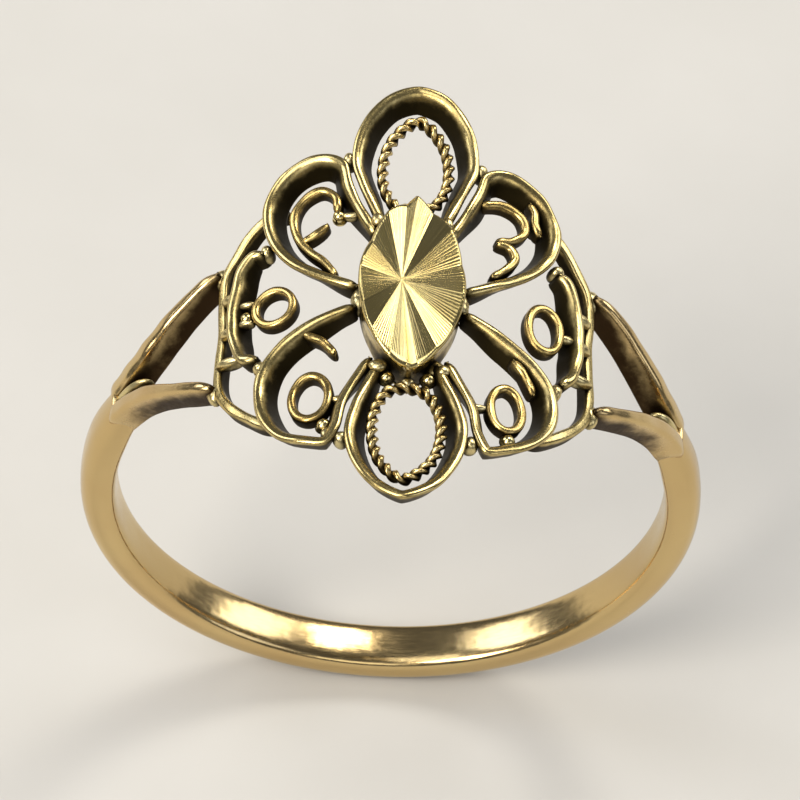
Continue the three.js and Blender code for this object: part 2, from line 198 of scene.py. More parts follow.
def add_piece(name, points, faces, rubbed_and_lit, finish, nodes=()):
    """Makes a piece from points in millimetres; rubbed says how much wear and painted light brighten each of
    them.
    """
    points = np.asarray(points, float).reshape(-1, 3)
    mesh = bpy.data.meshes.new(name)
    mesh.from_pydata((points * MM).tolist(), [], faces)
    wear = mesh.attributes.new("rubbed_and_lit", "FLOAT", "POINT")
    wear.data.foreach_set("value", np.asarray(rubbed_and_lit, np.float32).ravel())
    mesh.materials.append(finish)
    mesh.shade_smooth()
    piece = bpy.data.objects.new(name, mesh)
    bpy.context.scene.collection.objects.link(piece)
    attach(piece, "root")
    if nodes:
        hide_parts(*nodes)
    return piece


def face_outward(points, faces):
    """Turns every face round if the closed skin is inside out."""
    points = np.asarray(points, float).reshape(-1, 3)
    volume = 0.0
    for face in faces:
        first = points[face[0]]
        for b, c in zip(face[1:-1], face[2:]):
            volume += np.dot(first, np.cross(points[b], points[c]))
    return faces if volume > 0 else [face[::-1] for face in faces]


# Polished gold in daily wear gives broad, soft-edged highlights under a haze of scratches that run round
# the band. The real scratches are about 0.01 mm wide and are drawn at 0.05 mm.
shank_finish = worn_gold(
    "gold_14ct_polished_shank", SHANK_CLEAN, SHANK_WARM, SHANK_DULL, patch=1.6, scratch=WEAR_SCRATCH,
    stretch=(0.12, 1.0, 0.12), smooth=0.16, rough=0.42, bare=0.7)

angles = np.linspace(FORK_ANGLE - END_LAP, 2 * math.pi - FORK_ANGLE + END_LAP, SHANK_STATIONS)
from_fork = np.minimum(angles - angles[0], angles[-1] - angles)
taper = np.clip(1 - from_fork / TAPER_LENGTH, 0, 1) ** 2
half_width = (SHANK_WIDTH + (SHOULDER_WIDTH - SHANK_WIDTH) * taper) / 2
from_nose = np.clip(from_fork * BORE_RADIUS / NOSE_LENGTH, 0, 1)
nose = NOSE_SHARE + (1 - NOSE_SHARE) * from_nose ** 2 * (3 - 2 * from_nose)
half_thickness = (SHANK_OUTER - BORE_RADIUS) / 2
turn = 2 * np.pi * np.arange(SECTION_POINTS) / SECTION_POINTS
# The section is an ellipse pulled out towards its corners; the more squareness, the flatter that side.
squareness = np.where(np.sin(turn) > 0, OUTSIDE_SQUARENESS, INSIDE_SQUARENESS)
across = np.sign(np.cos(turn)) * np.abs(np.cos(turn)) ** (2 / SIDE_SQUARENESS)
outward = np.sign(np.sin(turn)) * np.abs(np.sin(turn)) ** (2 / squareness)
shank_rings = []
shank_wear = []
for angle, half, squeeze in zip(angles, half_width, nose):
    radius = BORE_RADIUS + half_thickness * (1 + outward * squeeze)
    radius -= SHANK_DOME * across ** 2 * (outward > 0)
    side = half * across * (1 + squeeze) / 2
    shank_rings.append(np.stack([radius * np.sin(angle), side, radius * np.cos(angle)], axis=1))
    shank_wear.append(np.interp(outward, (-1, 1), (INSIDE_RUBBED, OUTSIDE_RUBBED)))
shank_faces = face_outward(shank_rings, skin(shank_rings, closed=False))
add_piece("shank_band", shank_rings, shank_faces, shank_wear, shank_finish, ["shank"])

# Fork arms. Four strips of the same gold, forged narrower towards the head and soldered to the band's
# ends. Their thin top edges are rubbed bright, and the inner faces of the fork stay dull and are darkened
# further by painted shade.

HEAD_STANDOFF = 1.5
HEAD_HALF_LENGTH = 7.5
TIP_LIFT = 0.46
ARM_ROOT_THICKNESS = 0.64
ARM_TIP_THICKNESS = 0.35
ARM_ROOT_OFFSET = 0.365
ARM_SPREAD = {"back": 2.25, "front": 1.9}
RAIL_REACH = 6.2
ARM_BENDS = ((0.35, 0.24), (0.75, 0.72))
ARM_LAP = 0.4
ARM_SEAT = 0.1
ARM_EDGE = 0.15
ARM_HANDLED = 0.7
WAVER_LENGTH = 1.4
LEAN_RAMP = 1.6
END_WIDTH = 0.45
END_DROP = 0.25
FOOT_EDGE_SHARE = 0.6
CURVE_STEPS = 24
HEAD_RADIUS = BORE_RADIUS + HEAD_STANDOFF


def on_head(s, y, radius):
    """The place on the ring of points drawn on the flattened head: s runs across it, y along the finger."""
    raised = radius + TIP_LIFT * (y / HEAD_HALF_LENGTH) ** 2
    angle = s / HEAD_RADIUS
    return np.stack([raised * np.sin(angle), y + 0 * s, raised * np.cos(angle)], axis=-1)


def radial_span(node):
    """How far a node's floor and top are from the bore's axis, with the head's lift taken away, in mm."""
    corners = np.array([v.co for v in frame["nodes"][node].data.vertices]) / MM
    heights = np.hypot(corners[:, 0], corners[:, 2]) - TIP_LIFT * (corners[:, 1] / HEAD_HALF_LENGTH) ** 2
    return heights.min(), heights.max()


def smooth_line(points, closed, step):
    """Even steps along a centripetal Catmull-Rom curve through the points."""
    points = np.array(points, float)
    if closed:
        knots = np.concatenate([points[-1:], points, points[:2]])
    else:
        knots = np.concatenate([[2 * points[0] - points[1]], points, [2 * points[-1] - points[-2]]])
    t = np.linspace(0, 1, CURVE_STEPS, endpoint=False)[:, None]
    run = []
    for a, b, c, d in zip(knots, knots[1:], knots[2:], knots[3:]):
        first, mid, last = (math.sqrt(math.dist(p, q)) for p, q in ((a, b), (b, c), (c, d)))
        leave = ((b - a) / first - (c - a) / (first + mid) + (c - b) / mid) * mid
        arrive = ((c - b) / mid - (d - b) / (mid + last) + (d - c) / last) * mid
        cubic = (2 * (b - c) + leave + arrive) * t ** 3 - (3 * (b - c) + 2 * leave + arrive) * t ** 2
        run.append(cubic + leave * t + b)
    run = np.concatenate([*run, knots[-2][None]])
    gone = np.concatenate([[0], np.cumsum(np.linalg.norm(np.diff(run, axis=0), axis=1))])
    stations = np.linspace(0, gone[-1], max(8, round(gone[-1] / step)) + 1)
    if closed:
        stations = stations[:-1]
    line = np.stack([np.interp(stations, gone, run[:, axis]) for axis in (0, 1)], axis=1)
    return line, stations, gone[-1]


def waver(name, stations, length, reach):
    """The slow unevenness that a hand leaves along a strip, at most reach. It closes on itself."""
    draws = np.random.default_rng(zlib.crc32(name.encode()))
    total = np.zeros(len(stations))
    for wave in range(1, 3 + int(length / WAVER_LENGTH)):
        size, shift = draws.normal(), draws.random()
        total += size * np.sin(2 * np.pi * (wave * stations / length + shift))
    return reach * total / np.abs(total).max()


def strip_section(corner_points, side_points):
    """A rounded rectangle as corner signs and unit corner arcs, for a strip to scale to its size."""
    rows = []
    for start, (right, top) in enumerate(((1, 1), (-1, 1), (-1, -1), (1, -1))):
        for i in range(corner_points):
            arc = math.pi / 2 * (start + i / (corner_points - 1))
            rows.append((right, top, math.cos(arc), math.sin(arc)))
        next_right, next_top = ((-1, 1), (-1, -1), (1, -1), (1, 1))[start]
        arc = math.pi / 2 * (start + 1)
        for i in range(1, side_points + 1):
            share = i / (side_points + 1)
            rows.append((right + (next_right - right) * share, top + (next_top - top) * share,
                         math.cos(arc), math.sin(arc)))
    return np.array(rows)


def strip_mesh(name, points, closed, floor, top, thickness, edge, offset=0.0, lean=0.0, handled=0.0,
               step=0.09, uneven=0.02):
    """A strip on edge along a drawn line, bent over the finger.

    thickness is one number or the two of its ends; offset moves it to the left of its line, and lean
    moves its foot further left, except near its ends. handled is how much more its first end is rubbed.
    Returns its rings of points and how bright each point is drawn, for wear and painted light: most on top,
    least at the foot.
    """
    line, stations, length = smooth_line(points, closed, step)
    if closed:
        ahead, behind = np.roll(line, -1, axis=0), np.roll(line, 1, axis=0)
    else:
        ahead, behind = np.vstack([line[1:], line[-1:]]), np.vstack([line[:1], line[:-1]])
    along = (ahead - behind) / np.linalg.norm(ahead - behind, axis=1)[:, None]
    left = np.stack([-along[:, 1], along[:, 0]], axis=1)
    share = stations / length
    first, last = thickness if isinstance(thickness, tuple) else (thickness, thickness)
    half = (first + (last - first) * share) / 2 + waver(name + "_side", stations, length, uneven / 2)
    crest = top + waver(name + "_top", stations, length, uneven) - uneven
    foot_shift = np.full(len(stations), lean)
    if not closed:
        from_end = np.clip(np.minimum(stations, length - stations) / LEAN_RAMP, 0, 1)
        foot_shift = lean * from_end ** 2 * (3 - 2 * from_end)
        end_gap = np.minimum(stations, length - stations) / first
        roundness = np.sqrt(np.clip(1 - (1 - np.clip(end_gap, 0, 1)) ** 2, 0, 1))
        half = half * (END_WIDTH + (1 - END_WIDTH) * roundness)
        crest = crest - END_DROP * first * (1 - np.clip(end_gap, 0, 1)) ** 2
    section = strip_section(corner_points=5, side_points=2)
    right_sign, top_sign, right_arc, top_arc = section.T
    corner = np.where(top_sign > 0, edge, FOOT_EDGE_SHARE * edge)
    middle, tall = (crest + floor) / 2, (crest - floor) / 2
    out = right_sign * (half[:, None] - corner) + corner * right_arc + offset
    up = middle[:, None] + top_sign * (tall[:, None] - corner) + corner * top_arc
    height = np.clip((up - floor) / (top - floor), 0, 1)
    out = out + foot_shift[:, None] * (1 - height)
    s = line[:, :1] + left[:, :1] * out
    y = line[:, 1:] + left[:, 1:] * out
    # Wear and painted light together: the top is drawn brighter and the foot darker, as a light from above
    # and the shade on the lower walls would make them.
    rubbed_and_lit = height ** 3 + handled * (1 - share[:, None]) ** 2
    return on_head(s, y, up), rubbed_and_lit


def add_strip(name, points, closed, span, thickness, edge, finish, slot, node, **more):
    """Adds a strip that stands for one node. span is its floor and top; more goes to strip_mesh."""
    rings, rubbed_and_lit = strip_mesh(name, points, closed, *span, thickness, edge, **more)
    faces = face_outward(rings, skin(rings, closed))
    return add_piece(name, rings, faces, rubbed_and_lit, finish, [node])


# Forged gold, filed by hand, gives short streaks of light along the tops and a warm brown on the inner
# faces, where no polishing stick reaches and where painted shade darkens them. Its scratches too are drawn
# about five times coarser.
arm_finish = worn_gold(
    "gold_14ct_forged_arm", SHANK_CLEAN, SHANK_WARM, SHANK_DULL, patch=0.9, scratch=WEAR_SCRATCH,
    stretch=(0.3, 1.0, 0.3), smooth=0.18, rough=0.45, bare=0.15)

arm_start = FORK_ANGLE * HEAD_RADIUS
arm_end = RAIL_REACH + ARM_SEAT
for side, sign in (("left", -1), ("right", 1)):
    for end, way in (("back", 1), ("front", -1)):
        run = arm_start - arm_end
        rise = ARM_SPREAD[end] - ARM_ROOT_OFFSET
        route = [
            (sign * (arm_start + ARM_LAP), way * ARM_ROOT_OFFSET * 0.9),
            (sign * arm_start, way * ARM_ROOT_OFFSET),
            *(
                (sign * (arm_start - along * run), way * (ARM_ROOT_OFFSET + out * rise))
                for along, out in ARM_BENDS
            ),
            (sign * arm_end, way * ARM_SPREAD[end]),
        ]
        node = f"arm_{end}_{side}"
        add_strip(f"fork_{node}", route, False, radial_span(node), (ARM_ROOT_THICKNESS, ARM_TIP_THICKNESS),
                  ARM_EDGE, arm_finish, "shank_gold", node, handled=ARM_HANDLED)

# Rails. A strip of gold along each side of the head, under the petals. The arms are soldered to its outer
# face, and its two ends run under the diagonal petals and are soldered to their feet.

RAIL_THICKNESS = 0.34
RAIL_EDGE = 0.1
PETAL_CLEAN = "#e0cd90"
PETAL_WARM = "#c3a866"
# PETAL_DULL is tarnish and also painted shade: it is dark enough for the lower walls to look shaded, as if
# they reflected dark surroundings.
PETAL_DULL = "#2b2413"

# Rolled strip, rubbed only on top, gives a thin bright line, partly a painted highlight, over dull olive
# walls of tarnish and painted shade. Its draw marks are about 0.01 mm wide and are drawn at 0.04 mm.
rail_finish = worn_gold(
    "gold_14ct_rail_strip", PETAL_CLEAN, PETAL_WARM, PETAL_DULL, patch=0.7, scratch=0.04,
    stretch=(0.4, 0.4, 1.0), smooth=0.2, rough=0.5, bare=0.1)

for side, sign in (("left", -1), ("right", 1)):
    back, front = ARM_SPREAD["back"], -ARM_SPREAD["front"]
    route = [
        (sign * (RAIL_REACH - 2.25), back + 1.6),
        (sign * (RAIL_REACH - 1.75), back + 1.65),
        (sign * (RAIL_REACH - 1.2), back + 1.4),
        (sign * (RAIL_REACH - 0.55), back + 0.7),
        (sign * RAIL_REACH, back - 0.15),
        (sign * RAIL_REACH, 0.15),
        (sign * RAIL_REACH, front),
        (sign * (RAIL_REACH - 0.45), front - 0.75),
        (sign * (RAIL_REACH - 1.2), front - 1.4),
        (sign * (RAIL_REACH - 1.75), front - 1.75),
        (sign * (RAIL_REACH - 2.25), front - 1.9),
    ]
    node = f"rail_{side}"
    add_strip(f"side_{node}", route, False, radial_span(node), RAIL_THICKNESS, RAIL_EDGE, rail_finish,
              "petal_gold", node)

# Petals. Eight frames of gold strip that lean out like a cup's wall, soldered side by side: a pointed one
# at each end, four round ones that run back to the plate as spokes, and a shallow arc on each side. Their
# top edges are filed and rubbed bright, with a painted highlight too, and the walls inside are painted an
# olive brown that is tarnish and painted shade together.

PETAL_THICKNESS = 0.33
PETAL_EDGE = 0.15
PETAL_LEAN = 0.31
SEAM_PRESS = 0.005

seams = {
    "back_left": [(-0.93, 2.3), (-1.26, 2.97), (-1.7, 4.0), (-1.92, 4.85)],
    "back_right": [(0.93, 2.3), (1.26, 2.97), (1.7, 4.0), (1.93, 4.7)],
    "front_left": [(-0.93, -2.3), (-1.25, -2.95), (-1.63, -3.88), (-1.8, -4.8)],
    "front_right": [(0.93, -2.3), (1.25, -2.95), (1.63, -3.8), (1.79, -4.7)],
}
petal_outlines = {
    "petal_back": [
        *seams["back_left"], (-1.67, 6.12), (-0.97, 7.12), (-0.16, 7.5), (0.25, 7.49), (1.06, 7.1),
        (1.7, 6.12), *seams["back_right"][::-1],
    ],
    "petal_front": [
        *seams["front_left"], (-1.6, -5.86), (-0.99, -6.89), (-0.18, -7.4), (0.13, -7.38), (0.92, -6.88),
        (1.54, -5.87), *seams["front_right"][::-1],
    ],
    "petal_back_left": [
        *seams["back_left"], (-2.45, 5.2), (-3.22, 5.16), (-4.08, 4.62), (-4.55, 3.6), (-4.36, 2.32),
        (-3.7, 1.33), (-2.77, 0.69), (-1.62, 0.2),
    ],
    "petal_back_right": [
        *seams["back_right"], (2.43, 5.0), (3.1, 4.93), (3.98, 4.44), (4.51, 3.55), (4.54, 2.7),
        (4.17, 1.88), (3.4, 1.12), (2.47, 0.59), (1.62, 0.2),
    ],
    "petal_front_left": [
        *seams["front_left"], (-2.16, -5.38), (-2.9, -5.31), (-3.7, -4.96), (-4.32, -4.07), (-4.54, -3.0),
        (-4.37, -2.11), (-3.87, -1.38), (-3.09, -0.78), (-2.26, -0.4), (-1.62, -0.19),
    ],
    "petal_front_right": [
        *seams["front_right"], (2.2, -5.4), (3.07, -5.14), (3.84, -4.62), (4.37, -3.88), (4.54, -3.05),
        (4.39, -2.31), (3.94, -1.66), (3.2, -1.08), (2.37, -0.59), (1.62, -0.23),
    ],
    "petal_left": [
        (-4.42, 2.17), (-4.86, 2.18), (-5.3, 1.7), (-5.52, 0.84), (-5.6, -0.1), (-5.46, -1.06),
        (-5.08, -1.79), (-4.48, -1.97),
    ],
    "petal_right": [
        (4.6, 2.08), (4.98, 1.8), (5.32, 1.05), (5.46, 0.16), (5.44, -0.79), (5.17, -1.68), (4.72, -2.17),
    ],
}

# Filed strip gives a pale, bright line along each top edge, partly a painted highlight, over walls that are
# olive to nearly black with tarnish and painted shade. The file's marks are about 0.01 mm wide and are drawn
# at 0.035 mm.
petal_finish = worn_gold(
    "gold_14ct_filed_petal_strip", PETAL_CLEAN, PETAL_WARM, PETAL_DULL, patch=0.6, scratch=0.035,
    stretch=(0.5, 0.5, 1.0), smooth=0.17, rough=0.5, bare=0.1)


def left_turning(points):
    """1 for an outline that runs anticlockwise, so that its left is inside, and -1 for the other way."""
    s, y = np.array(points).T
    return 1 if np.sum(s * np.roll(y, -1) - y * np.roll(s, -1)) > 0 else -1


for node, outline in petal_outlines.items():
    inward = left_turning(outline)
    add_strip(f"frame_{node}", outline, False, radial_span(node), PETAL_THICKNESS, PETAL_EDGE,
              petal_finish, "petal_gold", node, offset=inward * (SEAM_PRESS + PETAL_THICKNESS / 2),
              lean=inward * PETAL_LEAN, step=0.08)

# Rope loops. Two round gold wires twisted together, rolled a little flat and bent to a pointed oval inside
# each end petal. The twist shows as a row of beads along the top.

BEAD_PITCH = 0.36
STRAND_RADIUS = 0.11
STRAND_SIDEWAYS = 0.075
STRAND_SIDES = 10
ROPE_STEP = 0.04
# ROPE_CLEAN_AND_HIGHLIGHT is paler than the other wire's gold, as a painted highlight on the beads.
ROPE_CLEAN_AND_HIGHLIGHT = "#ead69a"
WIRE_CLEAN = "#dfc784"
WIRE_WARM = "#be9b55"
WIRE_DULL = "#2c2311"

# Twisted wire, rubbed on its crests, gives a row of small bright beads with a dark gap after each one; the
# beads are painted paler as a highlight and the gaps painted darker as shade. Its fine scratches are drawn
# about four times coarser than they are.
rope_finish = worn_gold(
    "gold_14ct_twisted_wire", ROPE_CLEAN_AND_HIGHLIGHT, WIRE_WARM, WIRE_DULL, patch=0.5, scratch=0.04,
    stretch=(1.0, 1.0, 1.0), smooth=0.2, rough=0.5, bare=0.3)

rope_loops = {
    "rope_loop_back": [
        (0.06, 6.35), (0.76, 5.65), (1.0, 4.75), (0.9, 3.9), (0.54, 3.34), (0, 3.2),
        (-0.52, 3.34), (-0.86, 3.9), (-0.94, 4.75), (-0.69, 5.65),
    ],
    "rope_loop_front": [
        (-0.06, -6.5), (-0.71, -5.85), (-0.96, -4.8), (-0.88, -3.95), (-0.55, -3.34), (0, -3.18),
        (0.55, -3.34), (0.9, -3.95), (1.0, -4.8), (0.7, -5.85),
    ],
}
for node, route in rope_loops.items():
    floor, top = radial_span(node)
    line, stations, length = smooth_line(route, True, ROPE_STEP)
    along = np.roll(line, -1, axis=0) - np.roll(line, 1, axis=0)
    along /= np.linalg.norm(along, axis=1)[:, None]
    left = np.stack([-along[:, 1], along[:, 0]], axis=1)
    twists = round(length / (2 * BEAD_PITCH))
    tall = (top - floor) / 2 - STRAND_RADIUS
    points, faces, rubbed_and_lit = [], [], []
    for strand in (0, 1):
        phase = 2 * np.pi * twists * stations / length + math.pi * strand
        sideways = STRAND_SIDEWAYS * np.cos(phase)
        height = (floor + top) / 2 + tall * np.sin(phase)
        round_turn = 2 * np.pi * np.arange(STRAND_SIDES) / STRAND_SIDES
        out = sideways[:, None] + STRAND_RADIUS * np.cos(round_turn)
        up = height[:, None] + STRAND_RADIUS * np.sin(round_turn)
        rings = on_head(line[:, :1] + left[:, :1] * out, line[:, 1:] + left[:, 1:] * out, up)
        strand_faces = face_outward(rings, skin(rings, closed=True))
        first = sum(len(block) for block in points)
        points.append(rings.reshape(-1, 3))
        faces += [tuple(first + k for k in face) for face in strand_faces]
        # Wear and painted light: each strand is drawn brighter on its crest and darker low down.
        rubbed_and_lit.append(np.clip((up - floor) / (top - floor), 0, 1).ravel() ** 1.5)
    add_piece(f"twisted_{node}", np.concatenate(points), faces, np.concatenate(rubbed_and_lit), rope_finish,
              [node])

# Curls, tail, tendrils and rings. Flat gold wire, about 0.25 by 0.45 mm, bent on edge with round pliers.
# Their ends run into the petals' walls and into each other, where they are soldered.

WIRE_THICKNESS = 0.27
WIRE_EDGE = 0.11
WIRE_STEP = 0.05
RING_POINTS = 12

# Drawn flat wire gives narrow, soft highlights along its rounded edges, with brown dirt below them. The
# draw marks are drawn about three times coarser than they are.
wire_finish = worn_gold(
    "gold_14ct_flat_wire", WIRE_CLEAN, WIRE_WARM, WIRE_DULL, patch=0.5, scratch=0.035,
    stretch=(0.5, 0.5, 1.0), smooth=0.2, rough=0.5, bare=0.2)

open_wires = {
    "curl_back_left": [
        (-2.22, 3.1), (-2.3, 3.66), (-2.7, 3.94), (-3.2, 3.74), (-3.54, 3.15), (-3.42, 2.4),
        (-3.02, 1.8), (-2.6, 1.4), (-2.2, 0.86),
    ],
    "curl_back_right": [(1.98, 3.66), (2.75, 3.78), (3.26, 3.5), (3.38, 3.05), (3.05, 2.66), (2.5, 2.48)],
    "tail_back_right": [(2.5, 2.42), (2.94, 2.34), (3.1, 2.0), (2.9, 1.64), (2.38, 1.14)],
    "tendril_back_left": [(-3.3, 2.16), (-2.84, 2.4), (-2.5, 2.72)],
    "tendril_back_right": [(3.5, 4.16), (3.66, 3.82), (3.7, 3.4), (3.88, 3.05)],
    "tendril_front_left": [(-3.1, -1.14), (-2.5, -1.52), (-2.1, -2.0)],
    "tendril_front_right": [(3.08, -1.6), (3.5, -2.18), (3.74, -2.72)],
}
for node, route in open_wires.items():
    add_strip(f"wire_{node}", route, False, radial_span(node), WIRE_THICKNESS, WIRE_EDGE, wire_finish,
              "wire_gold", node, step=WIRE_STEP)

wire_rings = {
    "ring_left": ((-4.05, 0), 0.58, 0.6),
    "ring_right": ((4.1, -0.2), 0.52, 0.76),
    "ring_front_left": ((-2.78, -3.5), 0.54, 0.78),
    "ring_front_right": ((2.88, -3.5), 0.48, 0.76),
}
for node, (centre, half_across, half_along) in wire_rings.items():
    turns = 2 * np.pi * np.arange(RING_POINTS) / RING_POINTS
    route = [(centre[0] + half_across * math.sin(a), centre[1] + half_along * math.cos(a)) for a in turns]
    add_strip(f"wire_{node}", route, True, radial_span(node), WIRE_THICKNESS, WIRE_EDGE, wire_finish,
              "wire_gold", node, step=WIRE_STEP)

# Granules. Snippets of gold wire melted into balls 0.4 mm across and fused where a wire meets its petal.
# Each keeps a little skirt of solder round its foot.

GRANULE_RADIUS = 0.2
GRANULE_SKIRT = 0.1
GRANULE_LUMPS = 0.08
GRANULE_CLEAN = "#efe0a4"
GRANULE_WARM = "#dcc078"
GRANULE_TURNS = 28
GRANULE_LEVELS = 20

# Gold that has melted and set is smooth and pale, so each ball gives one small, sharp highlight. Its
# scratches are drawn about three times coarser than they are.
granule_finish = worn_gold(
    "gold_14ct_fused_granule", GRANULE_CLEAN, GRANULE_WARM, WIRE_DULL, patch=0.3, scratch=0.03,
    stretch=(1.0, 1.0, 1.0), smooth=0.14, rough=0.4, bare=0.6)

granules = {
    "granule_back_left": (-2.2, 3.0),
    "granule_left": (-4.97, -0.12),
    "granule_front_left": (-2.34, -4.5),
    "granule_front_right": (2.95, -4.57),
    "granule_foot_back_left": (-0.62, 2.88),
    "granule_foot_back_right": (0.62, 2.88),
    "granule_foot_front_left": (-0.6, -2.84),
    "granule_foot_front_right": (0.6, -2.84),
}
for node, (s, y) in granules.items():
    low, high = radial_span(node)
    draws = np.random.default_rng(zlib.crc32(node.encode()))
    lumps = draws.uniform(-GRANULE_LUMPS, GRANULE_LUMPS, 3)
    turns = 2 * np.pi * np.arange(GRANULE_TURNS) / GRANULE_TURNS
    rings, rubbed_and_lit = [], []
    for level in range(GRANULE_LEVELS):
        fall = math.pi * (level + 0.5) / GRANULE_LEVELS
        foot = max(0.0, (fall - math.pi / 2) / (math.pi / 2))
        reach = GRANULE_RADIUS * math.sin(fall) + GRANULE_SKIRT * foot * (1 - foot) * 3
        uneven = 1 + lumps[0] * np.cos(turns) + lumps[1] * np.sin(2 * turns) + lumps[2] * math.cos(2 * fall)
        height = (low + high) / 2 + (high - low) / 2 * math.cos(fall)
        radii = reach * uneven
        rings.append(on_head(s + radii * np.cos(turns), y + radii * np.sin(turns), height + 0 * turns))
        # Wear and painted light: each ball is drawn brighter on top and darker towards its foot.
        rubbed_and_lit.append(np.full(GRANULE_TURNS, (1 + math.cos(fall)) / 2))
    faces = face_outward(rings, skin(rings, closed=False))
    add_piece(f"ball_{node}", rings, faces, rubbed_and_lit, granule_finish, [node])

# Hub and collet. A marquise disc under the middle of the head, and the upright wall that stands on it and
# lifts the bright-cut plate above the petals.

PLATE_HALF_LENGTH = 3.1
PLATE_HALF_WIDTH = 1.54
PLATE_OVERHANG = 0.09
COLLET_WALL = 0.3
COLLET_EDGE = 0.07
COLLET_RUBBED = 0.3
COLLET_TOP_RUBBED = 0.6
HUB_RUBBED = 0.4
HUB_ROUNDS = 8
MARQUISE_STEPS = 144

# A hand-finished wall gives a satin gold, darker than the plate that it carries. Its upright scraper
# marks are drawn about four times coarser than they are.
collet_finish = worn_gold(
    "gold_14ct_collet_wall", PETAL_CLEAN, PETAL_WARM, PETAL_DULL, patch=0.5, scratch=0.04,
    stretch=(1.0, 1.0, 0.3), smooth=0.18, rough=0.45, bare=0.35)


def marquise_reach(angle, half_length, half_width):
    """A pointed oval of two equal arcs, as its distance from the centre in a given direction."""
    arc_radius = (half_length ** 2 + half_width ** 2) / (2 * half_width)
    shift = arc_radius - half_width
    return np.sqrt(arc_radius ** 2 - (shift * np.sin(angle)) ** 2) - shift * np.abs(np.cos(angle))


around = 2 * np.pi * np.arange(MARQUISE_STEPS) / MARQUISE_STEPS
collet_half_length = PLATE_HALF_LENGTH - 2 * PLATE_OVERHANG
collet_half_width = PLATE_HALF_WIDTH - PLATE_OVERHANG
outer = marquise_reach(around, collet_half_length, collet_half_width)
inner = marquise_reach(around, collet_half_length - 2 * COLLET_WALL, collet_half_width - COLLET_WALL)
collet_floor, collet_top = (corner.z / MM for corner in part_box("collet"))
wall_section = strip_section(corner_points=4, side_points=4)
rings = []
for angle, far, near in zip(around, outer, inner):
    right_sign, top_sign, right_arc, top_arc = wall_section.T
    half, tall = (far - near) / 2, (collet_top - collet_floor) / 2
    reach = (far + near) / 2 + right_sign * (half - COLLET_EDGE) + COLLET_EDGE * right_arc
    height = (collet_floor + collet_top) / 2 + top_sign * (tall - COLLET_EDGE) + COLLET_EDGE * top_arc
    rings.append(np.stack([reach * math.cos(angle), reach * math.sin(angle), height], axis=1))
collet_wear = np.tile(np.where(wall_section[:, 1] > 0, COLLET_TOP_RUBBED, COLLET_RUBBED), MARQUISE_STEPS)
faces = face_outward(rings, skin(rings, closed=True))
add_piece("collet_wall", rings, faces, collet_wear, collet_finish, ["collet"])

hub_floor, hub_top = radial_span("hub_plate")
rings, rubbed_and_lit = [], []
hub_reach = marquise_reach(around, collet_half_length, collet_half_width)
# The disc's profile, from the middle of its floor round the rim to the middle of its top, as shares of
# its reach and of its height.
hub_profile = [(share, 0.0) for share in np.linspace(0.02, 0.93, HUB_ROUNDS)]
hub_profile += [(0.975, 0.1), (1.0, 0.35), (1.0, 0.65), (0.975, 0.9)]
hub_profile += [(share, 1.0) for share in np.linspace(0.93, 0.02, HUB_ROUNDS)]
for share, lift in hub_profile:
    s, y = share * hub_reach * np.cos(around), share * hub_reach * np.sin(around)
    rings.append(on_head(s, y, hub_floor + lift * (hub_top - hub_floor)))
    rubbed_and_lit.append(np.full(MARQUISE_STEPS, HUB_RUBBED))
faces = face_outward(rings, skin(rings, closed=False))
add_piece("hub_disc", rings, faces, rubbed_and_lit, collet_finish, ["hub_plate"])

# Centre plate. A marquise blank of gold with eight V grooves cut from its rim to one point beside the
# centre by a polished diamond tool. The sixteen facets are bright, with fine lines that run to the point.

GROOVES = 8
GROOVE_DEPTH = 0.2
APEX_SHIFT = 0.3
RIDGE_TURN = math.radians(7.5)
PLATE_BLUNTNESS = 1.4
RIM_BEVEL = 0.08
SCALLOP = 0.05
TOOL_LINES = 150
TOOL_LINE_DEPTH = 0.0012
TOOL_MARK_BANDS = 26.0
TOOL_MARK_DEPTH = 0.006
HAZE_SIZE = 0.9
PLATE_STEPS = 960
FACET_ROUNDS = 26
BEVEL_DROP = 1.2
CUT_CLEAN = "#decd92"
CUT_WARM = "#c2ab69"
CUT_DULL = "#85733f"

# Gold cut by polished diamond: each facet is a near mirror, so it looks wholly bright or wholly dark, with
# fine lines that fan out from the point. The real lines are about 0.02 mm apart and are drawn at 0.1 mm.
cut_finish = bpy.data.materials.new("gold_14ct_bright_cut")
cut_finish.use_nodes = True
tree = cut_finish.node_tree
tree.nodes.clear()
place = add_node(tree, "ShaderNodeTexCoord", {}, {}).outputs["Object"]
rubbed_and_lit = add_node(tree, "ShaderNodeAttribute", {"attribute_name": "rubbed_and_lit"}, {}).outputs["Fac"]
parts = add_node(tree, "ShaderNodeSeparateXYZ", {}, {"Vector": place})
from_apex = add_node(tree, "ShaderNodeMath", {"operation": "ADD"}, {
    0: parts.outputs["X"], 1: APEX_SHIFT * MM})
direction = add_node(tree, "ShaderNodeMath", {"operation": "ARCTAN2"}, {
    0: parts.outputs["Y"], 1: from_apex.outputs[0]})
tool_marks = add_node(tree, "ShaderNodeTexNoise", {"noise_dimensions": "1D"}, {
    "W": direction.outputs[0], "Scale": TOOL_MARK_BANDS, "Detail": 3.0, "Roughness": 0.7})
haze = add_node(tree, "ShaderNodeTexNoise", {}, {
    "Vector": place, "Scale": per_metre(HAZE_SIZE), "Detail": 4.0})
alloy = add_node(tree, "ShaderNodeMixRGB", {}, {
    "Fac": haze.outputs["Fac"], "Color1": to_linear(CUT_CLEAN), "Color2": to_linear(CUT_WARM)})
